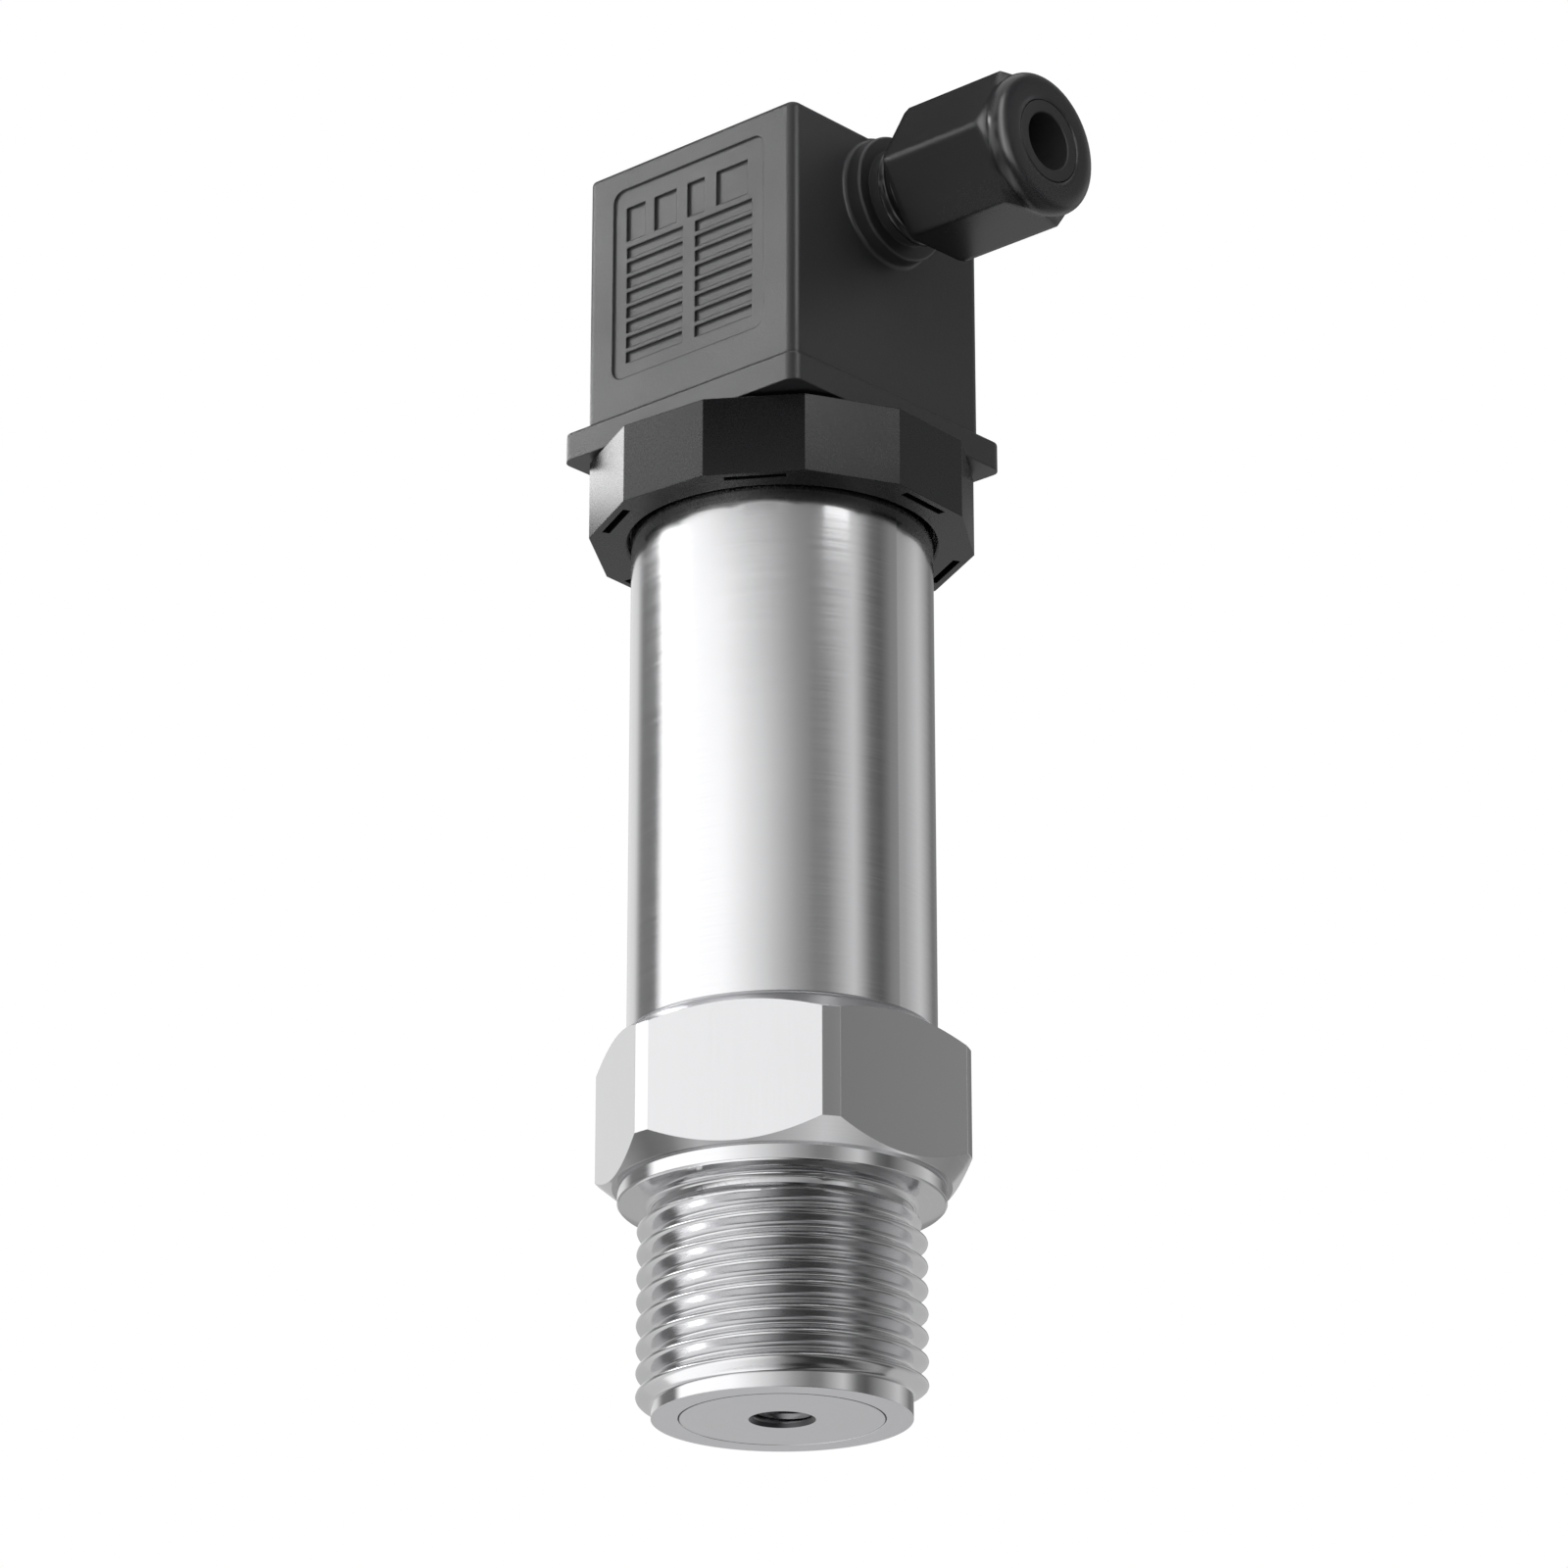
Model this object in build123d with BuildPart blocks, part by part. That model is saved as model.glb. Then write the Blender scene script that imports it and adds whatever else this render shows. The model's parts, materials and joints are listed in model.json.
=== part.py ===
from build123d import *
import os
from math import cos, radians, sin

os.makedirs("parts", exist_ok=True)

# The lower end face of the process fitting lies at height zero, centred on the tube axis.
# The cable leaves toward +X and the patterned side of the plug faces -Y.

# Process fitting, from the lower end face up
thread_radius = 12.0
thread_length = 16.95
thread_runout = 0.9
pilot_depth = 1.27
pilot_length = 1.0
pilot_rise = 0.9
relief_radius = 10.75
relief_length = 1.05
relief_fillet = 0.6
collar_radius = 13.66
collar_thickness = 1.45
collar_edge = 0.15
hex_across_flats = 28.5
hex_corner_radius = 16.03
hex_turn = 26.4
hex_height = 12.85
hex_face_margin = 0.16
lower_chamfer_height = 1.63
upper_chamfer_height = 1.92
relief_top = thread_length + relief_length
hex_bottom = relief_top + collar_thickness
hex_top = hex_bottom + hex_height

# Port disc let into the lower end face
disc_radius = 8.44
disc_seat_clearance = 0.02
disc_thickness = 4.0
port_radius = 2.45
port_chamfer = 0.3
passage_radius = 1.6

# Sensor capsule on its seat above the passage
sensor_radius = 9.5
sensor_height = 9.7
sensor_clearance = 0.05
sensor_seat_rise = 0.85
sensor_seat_width = 1.2
sensor_rim_width = 1.9
chamber_height = 1.1
funnel_height = 3.5
seal_groove_depth = 1.3
seal_groove_width = 1.6
seal_groove_rise = 2.7
seal_slack = 0.02
header_recess = 0.5
header_wall = 2.5
pin_circle_radius = 5.0
pin_count = 5
pin_radius = 0.25
pin_turn = 18
pin_rise = 4.5
pin_socket_depth = 2.0
sensor_seat = hex_bottom + sensor_seat_rise
sensor_top = sensor_seat + sensor_height
sensor_bore_radius = sensor_radius + sensor_clearance
pin_top = sensor_top + pin_rise

# Retaining ring above the capsule
ring_height = 3.0
ring_wall = 2.3
ring_slot_width = 1.6
ring_slot_depth = 1.2
ring_recess = 3.3
spigot_top = sensor_top + ring_height + ring_recess
spigot_chamfer = 0.4

# Housing tube, turned down at the top for the union nut
tube_radius = 13.0
tube_wall = 1.5
tube_length = 48.7
tube_fit = 0.02
tube_foot_chamfer = 0.25
tube_thread_step = 0.5
tube_thread_length = 2.6
tube_thread_chamfer = 0.3
tube_bore_radius = tube_radius - tube_wall
tube_top = hex_top + tube_length
tube_thread_radius = tube_radius - tube_thread_step
tube_thread_bottom = tube_top - tube_thread_length

# Connector base: spigot, shoulder and neck
base_spigot_clearance = 0.1
base_spigot_depth = 7.0
base_spigot_chamfer = 0.4
base_wall = 1.9
base_groove_rise = 2.4
base_groove_width = 1.5
base_groove_depth = 1.05
base_seal_wire = 0.56
base_shoulder_inset = 0.1
base_shoulder_height = 1.4
base_neck_step = 1.5
base_spigot_radius = tube_bore_radius - base_spigot_clearance
base_bottom = tube_top - base_spigot_depth
base_cavity_radius = base_spigot_radius - base_wall
base_groove_bottom = base_bottom + base_groove_rise
base_shoulder_radius = tube_thread_radius - base_shoulder_inset
base_shoulder_top = tube_top + base_shoulder_height
base_neck_radius = base_shoulder_radius - base_neck_step

# Union nut over the tube and the shoulder of the base
nut_corner_radius = 16.7
nut_sides = 12
nut_turn = 18.5
nut_skirt = 1.3
nut_mouth_gap = 0.3
nut_mouth_chamfer = 0.2
nut_thread_clearance = 0.05
nut_thread_relief = 0.2
nut_chamber_gap = 0.4
nut_chamber_drop = 0.1
nut_lip_gap = 0.2
nut_lip_clearance = 0.5
nut_lip_thickness = 1.5
slot_length = 5.3
slot_width = 0.7
slot_depth = 2.5
slot_circle_radius = 15.2
slot_turn = 3.5
nut_bottom = tube_thread_bottom - nut_skirt
nut_lip_bottom = base_shoulder_top + nut_lip_gap
nut_top = nut_lip_bottom + nut_lip_thickness

# Square flange of the base and its raised contact block
flange_size = 27.0
flange_thickness = 2.66
flange_gap = 0.43
flange_corner = 1.0
flange_edge = 0.3
base_floor = 1.93
block_margin = 2.485
block_height = 3.01
block_corner = 1.2
flange_bottom = nut_top + flange_gap
flange_top = flange_bottom + flange_thickness
base_cavity_top = flange_bottom - base_floor
block_top = flange_top + block_height

# Plug housing: two faces nearly flush with the flange, so it sits off the tube axis
plug_size = 24.17
plug_height = 23.47
plug_wall = 1.6
plug_reveal = 0.33
plug_seat_gap = 0.05
plug_corner = 0.85
plug_edge = 0.45
cavity_corner = 0.3
plug_x = flange_size / 2 - plug_reveal - plug_size / 2
plug_y = -plug_x
plug_bottom = flange_top + plug_seat_gap
plug_top = plug_bottom + plug_height
cavity_size = plug_size - 2 * plug_wall
block_size = cavity_size - 2 * block_margin
cavity_top = plug_top - plug_wall
face_x = plug_x + plug_size / 2
face_y = plug_y - plug_size / 2

# Flat gasket round the contact block
gasket_thickness = 1.0
gasket_edge_gap = 0.1
gasket_block_gap = 0.35

# Flat contact blades
blade_circle_radius = 6.0
blade_width = 6.3
blade_thickness = 0.8
blade_slot_clearance = 0.03
blade_rise = 7.3
blade_tip = 1.2
earth_blade_extra = 2.0
tail_width = 2.0
tail_drop = 3.8
tail_shoulder_drop = 0.8
blade_top = block_top + blade_rise
earth_blade_top = blade_top + earth_blade_extra
blade_bottom = base_cavity_top - tail_drop

# Terminal insert, sockets and terminal screws
insert_gap = 0.15
insert_lift = 0.5
insert_roof = 1.1
insert_corner = 0.5
socket_play = 0.1
socket_spring = 0.8
socket_side = 0.35
socket_lift = 0.3
socket_inset = 0.1
chamber_play = 0.1
clamp_width = 5.0
partition_wall = 0.9
partition_reach = 8.6
partition_hub = 1.9
clamp_rise = 1.4
clamp_hole_radius = 0.95
clamp_hole_depth = 0.9
terminal_head_radius = 1.7
terminal_head_height = 1.1
terminal_slot_width = 0.5
terminal_clearance = 0.05
terminal_gap = 0.5
insert_bottom = block_top + insert_lift
insert_top = earth_blade_top + insert_roof
socket_bottom = insert_bottom + socket_lift
socket_top = insert_top - socket_inset
socket_opening = blade_thickness + 2 * socket_play
socket_depth = socket_opening + 2 * socket_spring
socket_width = blade_width + 2 * (socket_play + socket_side)
clamp_top = insert_top + clamp_rise

# Fixing screw in the middle of the plug, its insert in the base and its sealing ring
screw_radius = 1.5
screw_play = 0.3
screw_insert_clearance = 0.05
screw_reach = 5.2
screw_tip = 0.4
screw_head_radius = 2.75
screw_head_height = 2.1
screw_head_edge = 0.4
screw_slot_width = 0.8
screw_slot_depth = 1.1
screw_recess_depth = 0.8
screw_recess_gap = 0.55
screw_seal_thickness = 0.55
screw_seal_gap = 0.04
brass_length = 6.2
brass_radius = 2.1
brass_clearance = 0.02
screw_bottom = block_top - screw_reach
screw_hole_radius = screw_radius + screw_play
brass_bottom = block_top - brass_length
recess_floor = plug_top - screw_recess_depth
recess_radius = screw_head_radius + screw_recess_gap
screw_head_bottom = recess_floor + screw_seal_thickness + screw_seal_gap

# Gland on the +X face: boss, groove and threaded neck
gland_drop = 5.65
boss_radius = 5.6
boss_length = 1.7
boss_fillet = 0.35
boss_edge = 0.15
groove_radius = 4.3
groove_width = 3.9
neck_radius = 4.75
neck_wall = 0.95
wire_hole_radius = 3.0
seal_seat = 5.0
gland_z = plug_top - gland_drop
groove_end = face_x + boss_length + groove_width
neck_bore_radius = neck_radius - neck_wall

# Gland nut: six flats, a cone and a rounded nose
gland_nut_start = 5.4
gland_nut_flats = 12.1
gland_nut_corner = 7.0
gland_nut_edge = 0.3
gland_nut_turn = 1.4
gland_hex_length = 10.45
gland_cone_length = 0.65
gland_crease_radius = 5.9
gland_nose_length = 1.57
gland_nose_radius = 6.3
gland_nose_overlap = 0.5
gland_crest_back = 0.2
gland_end_radius = 5.0
gland_thread_clearance = 0.08
gland_front_depth = 2.85
gland_shoulder_rise = 1.0
gland_back = face_x + gland_nut_start
gland_cone_start = gland_back + gland_hex_length
gland_cone_end = gland_cone_start + gland_cone_length
gland_end = gland_cone_end + gland_nose_length
neck_end = gland_cone_start - gland_front_depth
gland_thread_radius = neck_radius + gland_thread_clearance

# Cable seal and washer inside the gland
cable_radius = 2.56
seal_wall = 1.05
seal_fit = 0.03
seal_step = 0.1
seal_nut_clearance = 0.1
washer_thickness = 0.5
washer_gap = 0.12
washer_rim_gap = 0.3
seal_nose_radius = cable_radius + seal_wall

# Recessed panel on the patterned face, two columns of bars and a row of blocks above
panel_side_margin = 3.28
panel_shift = -0.2
panel_lower_margin = 3.36
panel_upper_margin = 2.11
panel_corner = 1.1
panel_depth = 0.2
bar_depth = 0.25
bar_length = 6.6
bar_height = 1.02
bar_pitch = 1.42
bar_rows = 8
bar_gap = 1.46
bar_margin = 1.39
block_row_gap = 0.65
block_row_height = 3.2
block_row = ((-6.3, 2.2), (-2.8, 2.6), (0.8, 2.0), (5.0, 3.6))
panel_width = plug_size - 2 * panel_side_margin
panel_height = plug_height - panel_lower_margin - panel_upper_margin
panel_x = plug_x + panel_shift
panel_bottom = plug_bottom + panel_lower_margin
bars_bottom = panel_bottom + bar_margin
bars_top = bars_bottom + (bar_rows - 1) * bar_pitch + bar_height

# Circuit board and its holder
holder_height = 4.0
holder_fit = 0.1
holder_wall = 2.6
board_edge_gap = 1.5
board_lift = 1.3
board_slot_gap = 0.05
board_length = 30.4
board_thickness = 1.6
board_corner = 1.0
wire_hole_size = 0.45
wire_hole_drop = 1.8
wire_pitch = 3.0
wire_holes = [(k - 1.5) * wire_pitch for k in range(4)]
holder_radius = tube_bore_radius - holder_fit
board_width = 2 * (tube_bore_radius - board_edge_gap)
board_bottom = spigot_top + board_lift
board_top = board_bottom + board_length
board_face = board_thickness / 2

# Leads, drawn as straight runs joined by arcs
lead_radius = 0.35
lead_gap = 0.05
lead_bend = 1.2
lead_line = board_face + lead_radius + lead_gap


# Process fitting: the hexagon comes first, turned at both ends and then cut to six flats
with BuildPart() as process_fitting:
    with BuildSketch(Plane.XZ):
        with BuildLine():
            Polyline(
                (0, hex_bottom),
                (hex_across_flats / 2 - hex_face_margin, hex_bottom),
                (hex_corner_radius, hex_bottom + lower_chamfer_height),
                (hex_corner_radius, hex_top - upper_chamfer_height),
                (tube_radius, hex_top),
                (0, hex_top),
                close=True,
            )
        make_face()
    revolve(axis=Axis.Z)
    with BuildSketch(Plane.XY.offset(hex_bottom)):
        RegularPolygon(hex_across_flats / 2, 6, major_radius=False, rotation=hex_turn)
    extrude(amount=hex_height, mode=Mode.INTERSECT)

    # Pilot, thread cylinder at crest size, relief neck with its curved root, and sealing collar
    with BuildSketch(Plane.XZ):
        with BuildLine():
            Polyline(
                (0, 0),
                (thread_radius - pilot_depth, 0),
                (thread_radius - pilot_depth, pilot_length),
                (thread_radius, pilot_length + pilot_rise),
                (thread_radius, thread_length - thread_runout),
                (relief_radius, thread_length),
                (relief_radius, relief_top - relief_fillet),
            )
            RadiusArc(
                (relief_radius, relief_top - relief_fillet),
                (relief_radius + relief_fillet, relief_top),
                relief_fillet,
            )
            Polyline(
                (relief_radius + relief_fillet, relief_top),
                (collar_radius - collar_edge, relief_top),
                (collar_radius, relief_top + collar_edge),
                (collar_radius, hex_bottom),
                (0, hex_bottom),
                (0, 0),
            )
        make_face()
    revolve(axis=Axis.Z)

    # Spigot for the tube
    with BuildSketch(Plane.XY.offset(hex_top)):
        Circle(tube_bore_radius - tube_fit)
    extrude(amount=spigot_top - hex_top)
    chamfer(process_fitting.edges().sort_by(Axis.Z)[-1], spigot_chamfer)

    # Seat for the port disc, pressure passage, chamber and sensor bore
    with BuildSketch(Plane.XZ):
        with BuildLine():
            Polyline(
                (0, 0),
                (disc_radius + disc_seat_clearance, 0),
                (disc_radius + disc_seat_clearance, disc_thickness),
                (passage_radius, disc_thickness),
                (passage_radius, sensor_seat - chamber_height - funnel_height),
                (sensor_bore_radius - sensor_seat_width, sensor_seat - chamber_height),
                (sensor_bore_radius - sensor_seat_width, sensor_seat),
                (sensor_bore_radius, sensor_seat),
                (sensor_bore_radius, spigot_top),
                (0, spigot_top),
                close=True,
            )
        make_face()
    revolve(axis=Axis.Z, mode=Mode.SUBTRACT)
process_fitting.part.label = "process_fitting"
export_step(process_fitting.part, "parts/process_fitting.step")


# Port disc with its small pressure port
with BuildPart() as port_disc:
    with BuildSketch():
        Circle(disc_radius)
        Circle(port_radius, mode=Mode.SUBTRACT)
    extrude(amount=disc_thickness)
    chamfer(port_disc.edges().group_by(Axis.Z)[0].sort_by(SortBy.RADIUS)[0], port_chamfer)
port_disc.part.label = "port_disc"
export_step(port_disc.part, "parts/port_disc.step")


# Sensor capsule: waved diaphragm below, O-ring groove round it, sockets for the pins on top
rim_radius = sensor_radius - sensor_rim_width
wave_height = 0.25
wave_rise = 0.4
wave_steps = 6
wave_base = sensor_seat + wave_rise
groove_bottom = sensor_seat + seal_groove_rise
groove_radius_inside = sensor_radius - seal_groove_depth
with BuildPart() as sensor_cell:
    with BuildSketch(Plane.XZ):
        with BuildLine():
            Spline(
                *[
                    (rim_radius * k / wave_steps, wave_base + wave_height * (k % 2))
                    for k in range(wave_steps + 1)
                ]
            )
            Polyline(
                (rim_radius, wave_base),
                (rim_radius, sensor_seat),
                (sensor_radius, sensor_seat),
                (sensor_radius, groove_bottom),
                (groove_radius_inside, groove_bottom),
                (groove_radius_inside, groove_bottom + seal_groove_width),
                (sensor_radius, groove_bottom + seal_groove_width),
                (sensor_radius, sensor_top),
                (sensor_radius - header_wall, sensor_top),
                (sensor_radius - header_wall, sensor_top - header_recess),
                (0, sensor_top - header_recess),
                (0, wave_base),
            )
        make_face()
    revolve(axis=Axis.Z)
    with BuildSketch(Plane.XY.offset(sensor_top - pin_socket_depth)):
        with PolarLocations(pin_circle_radius, pin_count, start_angle=pin_turn):
            Circle(pin_radius + seal_slack)
    extrude(amount=pin_socket_depth, mode=Mode.SUBTRACT)
sensor_cell.part.label = "sensor_cell"
export_step(sensor_cell.part, "parts/sensor_cell.step")


# O-ring between the capsule's groove and the bore
seal_ring_radius = (groove_radius_inside + sensor_bore_radius) / 2
with BuildPart() as sensor_seal:
    with BuildSketch(Plane.XZ):
        with Locations((seal_ring_radius, groove_bottom + seal_groove_width / 2)):
            Circle((sensor_bore_radius - groove_radius_inside) / 2 - seal_slack)
    revolve(axis=Axis.Z)
sensor_seal.part.label = "sensor_seal"
export_step(sensor_seal.part, "parts/sensor_seal.step")


# Retaining ring, screwed down on the capsule with a pin wrench in four slots
with BuildPart() as retaining_ring:
    with BuildSketch(Plane.XY.offset(sensor_top)):
        Circle(sensor_radius)
        Circle(sensor_radius - ring_wall, mode=Mode.SUBTRACT)
    extrude(amount=ring_height)
    with BuildSketch(Plane.XY.offset(sensor_top + ring_height)):
        with PolarLocations(sensor_radius - ring_wall / 2, 4, start_angle=45):
            Rectangle(2 * ring_wall, ring_slot_width)
    extrude(amount=-ring_slot_depth, mode=Mode.SUBTRACT)
retaining_ring.part.label = "retaining_ring"
export_step(retaining_ring.part, "parts/retaining_ring.step")


# Sensor pins
with BuildPart() as sensor_pins:
    with BuildSketch(Plane.XY.offset(sensor_top - pin_socket_depth)):
        with PolarLocations(pin_circle_radius, pin_count, start_angle=pin_turn):
            Circle(pin_radius)
    extrude(amount=pin_rise + pin_socket_depth)
sensor_pins.part.label = "sensor_pins"
export_step(sensor_pins.part, "parts/sensor_pins.step")


# Housing tube, chamfered at the weld and turned down for the union nut
with BuildPart() as housing_tube:
    with BuildSketch(Plane.XZ):
        with BuildLine():
            Polyline(
                (tube_bore_radius, hex_top),
                (tube_radius - tube_foot_chamfer, hex_top),
                (tube_radius, hex_top + tube_foot_chamfer),
                (tube_radius, tube_thread_bottom),
                (tube_thread_radius, tube_thread_bottom),
                (tube_thread_radius, tube_top - tube_thread_chamfer),
                (tube_thread_radius - tube_thread_chamfer, tube_top),
                (tube_bore_radius, tube_top),
                close=True,
            )
        make_face()
    revolve(axis=Axis.Z)
housing_tube.part.label = "housing_tube"
export_step(housing_tube.part, "parts/housing_tube.step")


# Board holder: a ring on the spigot with two slots for the board edges
with BuildPart() as board_holder:
    with BuildSketch(Plane.XY.offset(spigot_top)):
        Circle(holder_radius)
        Circle(holder_radius - holder_wall, mode=Mode.SUBTRACT)
    extrude(amount=holder_height)
    with BuildSketch(Plane.XY.offset(board_bottom)):
        Rectangle(board_width + 2 * board_slot_gap, board_thickness + 2 * board_slot_gap)
    extrude(amount=holder_height, mode=Mode.SUBTRACT)
board_holder.part.label = "board_holder"
export_step(board_holder.part, "parts/board_holder.step")


# Circuit board with a row of wire holes near its head
with BuildPart() as circuit_board:
    with BuildSketch(Plane.XZ.offset(-board_face)):
        with Locations((0, board_bottom + board_length / 2)):
            RectangleRounded(board_width, board_length, board_corner)
        with Locations(*[(x, board_top - wire_hole_drop) for x in wire_holes]):
            Circle(wire_hole_size, mode=Mode.SUBTRACT)
    extrude(amount=board_thickness)
circuit_board.part.label = "circuit_board"
export_step(circuit_board.part, "parts/circuit_board.step")


# Board components as (x, height above the board's foot, width, height, thickness)
front_parts = (
    (-3.0, 19.9, 6.0, 5.0, 1.5),
    (5.0, 11.9, 4.4, 4.4, 1.5),
    (-5.6, 12.9, 1.6, 3.0, 0.8),
    (-2.2, 12.9, 1.6, 3.0, 0.8),
    (5.2, 22.9, 1.6, 3.0, 0.8),
    (5.2, 18.9, 1.6, 3.0, 0.8),
)
back_parts = (
    (4.5, 18.4, 6.2, 4.6, 2.4),
    (4.0, 9.9, 3.0, 5.0, 2.4),
)
capacitor_x = -4.5
capacitor_rise = 17.4
capacitor_radius = 2.6
capacitor_height = 4.5
with BuildPart() as board_components:
    for x, rise, wide, high, thick in front_parts:
        with BuildSketch(Plane.XZ.offset(board_face)):
            with Locations((x, board_bottom + rise)):
                Rectangle(wide, high)
        extrude(amount=thick)
    for x, rise, wide, high, thick in back_parts:
        with BuildSketch(Plane.XZ.offset(-board_face)):
            with Locations((x, board_bottom + rise)):
                Rectangle(wide, high)
        extrude(amount=-thick)
    with BuildSketch(Plane.XZ.offset(-board_face)):
        with Locations((capacitor_x, board_bottom + capacitor_rise)):
            Circle(capacitor_radius)
    extrude(amount=-capacitor_height)
board_components.part.label = "board_components"
export_step(board_components.part, "parts/board_components.step")


# Leads that rise from the sensor pins to the foot of the board
lead_straight = 1.5
lead_landing = 5.4
landing_draw_in = 0.85
landing_shift = 0.3
with BuildPart() as sensor_leads:
    for k in range(pin_count):
        a = radians(360 / pin_count * k + pin_turn)
        x = pin_circle_radius * cos(a)
        y = pin_circle_radius * sin(a)
        landing = (landing_draw_in * x + landing_shift, lead_line if y > 0 else -lead_line)
        with BuildLine() as run:
            FilletPolyline(
                (x, y, pin_top + lead_gap),
                (x, y, pin_top + lead_straight),
                (*landing, board_bottom + lead_landing - 2 * lead_straight),
                (*landing, board_bottom + lead_landing),
                radius=lead_bend,
            )
        with BuildSketch(Plane(origin=run.line @ 0, z_dir=run.line % 0)):
            Circle(lead_radius)
        sweep(path=run.line)
sensor_leads.part.label = "sensor_leads"
export_step(sensor_leads.part, "parts/sensor_leads.step")


# Connector base: spigot, shoulder, neck, square flange and raised contact block
with BuildPart() as connector_base:
    with BuildSketch(Plane.XZ):
        with BuildLine():
            Polyline(
                (0, base_cavity_top),
                (base_cavity_radius, base_cavity_top),
                (base_cavity_radius, base_bottom),
                (base_spigot_radius - base_spigot_chamfer, base_bottom),
                (base_spigot_radius, base_bottom + base_spigot_chamfer),
                (base_spigot_radius, base_groove_bottom),
                (base_spigot_radius - base_groove_depth, base_groove_bottom),
                (base_spigot_radius - base_groove_depth, base_groove_bottom + base_groove_width),
                (base_spigot_radius, base_groove_bottom + base_groove_width),
                (base_spigot_radius, tube_top),
                (base_shoulder_radius, tube_top),
                (base_shoulder_radius, base_shoulder_top),
                (base_neck_radius, base_shoulder_top),
                (base_neck_radius, flange_bottom),
                (0, flange_bottom),
                close=True,
            )
        make_face()
    revolve(axis=Axis.Z)
    with BuildSketch(Plane.XY.offset(flange_bottom)):
        RectangleRounded(flange_size, flange_size, flange_corner)
    extrude(amount=flange_thickness)
    fillet(connector_base.faces().filter_by(Plane.XY).group_by(Axis.Z)[-1].edges(), flange_edge)
    with BuildSketch(Plane.XY.offset(flange_top)):
        with Locations((plug_x, plug_y)):
            RectangleRounded(block_size, block_size, block_corner)
    extrude(amount=block_height)

    # Slots for the blades and the pocket for the threaded insert
    with BuildSketch(Plane.XY.offset(base_cavity_top)):
        with Locations((plug_x, plug_y)):
            with PolarLocations(blade_circle_radius, 4):
                Rectangle(
                    blade_thickness + 2 * blade_slot_clearance,
                    blade_width + 2 * blade_slot_clearance,
                )
    extrude(amount=block_top - base_cavity_top, mode=Mode.SUBTRACT)
    with BuildSketch(Plane.XY.offset(brass_bottom)):
        with Locations((plug_x, plug_y)):
            Circle(brass_radius + brass_clearance)
    extrude(amount=brass_length, mode=Mode.SUBTRACT)
connector_base.part.label = "connector_base"
export_step(connector_base.part, "parts/connector_base.step")


# Contact blades with narrow solder tails; the earth blade is the longest and stands toward +Y
with BuildPart() as contact_blades:
    for k in range(4):
        a = radians(90 * k)
        top = earth_blade_top if k == 1 else blade_top
        side = blade_width / 2
        tail = tail_width / 2
        shoulder = base_cavity_top - tail_shoulder_drop
        spot = Plane(
            origin=(plug_x + blade_circle_radius * cos(a), plug_y + blade_circle_radius * sin(a), 0),
            x_dir=(-sin(a), cos(a), 0),
            z_dir=(cos(a), sin(a), 0),
        )
        with BuildSketch(spot.offset(-blade_thickness / 2)):
            with BuildLine():
                Polyline(
                    (-tail, blade_bottom),
                    (tail, blade_bottom),
                    (tail, shoulder),
                    (side, shoulder),
                    (side, top - blade_tip),
                    (side - blade_tip, top),
                    (blade_tip - side, top),
                    (-side, top - blade_tip),
                    (-side, shoulder),
                    (-tail, shoulder),
                    close=True,
                )
            make_face()
        extrude(amount=blade_thickness)
contact_blades.part.label = "contact_blades"
export_step(contact_blades.part, "parts/contact_blades.step")


# Leads from the head of the board to three of the blade tails
tail_overlap = 1.1
lead_rise = 2.5
tail_line = blade_circle_radius - blade_thickness / 2 - lead_radius - lead_gap
with BuildPart() as output_leads:
    for start_x, k in ((wire_holes[3], 0), (wire_holes[2], 1), (wire_holes[0], 2)):
        a = radians(90 * k)
        tail_spot = (plug_x + tail_line * cos(a), plug_y + tail_line * sin(a))
        with BuildLine() as run:
            FilletPolyline(
                (start_x, lead_line, board_top - lead_rise),
                (start_x, lead_line, board_top + lead_rise),
                (*tail_spot, blade_bottom - lead_rise),
                (*tail_spot, blade_bottom + tail_overlap),
                radius=lead_bend,
            )
        with BuildSketch(Plane(origin=run.line @ 0, z_dir=run.line % 0)):
            Circle(lead_radius)
        sweep(path=run.line)
output_leads.part.label = "output_leads"
export_step(output_leads.part, "parts/output_leads.step")


# O-ring between the base and the tube
base_ring_radius = tube_bore_radius - base_seal_wire - seal_slack
with BuildPart() as base_seal:
    with BuildSketch(Plane.XZ):
        with Locations((base_ring_radius, base_groove_bottom + base_groove_width / 2)):
            Circle(base_seal_wire)
    revolve(axis=Axis.Z)
base_seal.part.label = "base_seal"
export_step(base_seal.part, "parts/base_seal.step")


# Brass insert that takes the fixing screw
with BuildPart() as threaded_insert:
    with BuildSketch(Plane.XY.offset(brass_bottom)):
        with Locations((plug_x, plug_y)):
            Circle(brass_radius)
            Circle(screw_radius + screw_insert_clearance, mode=Mode.SUBTRACT)
    extrude(amount=brass_length)
threaded_insert.part.label = "threaded_insert"
export_step(threaded_insert.part, "parts/threaded_insert.step")


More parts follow.
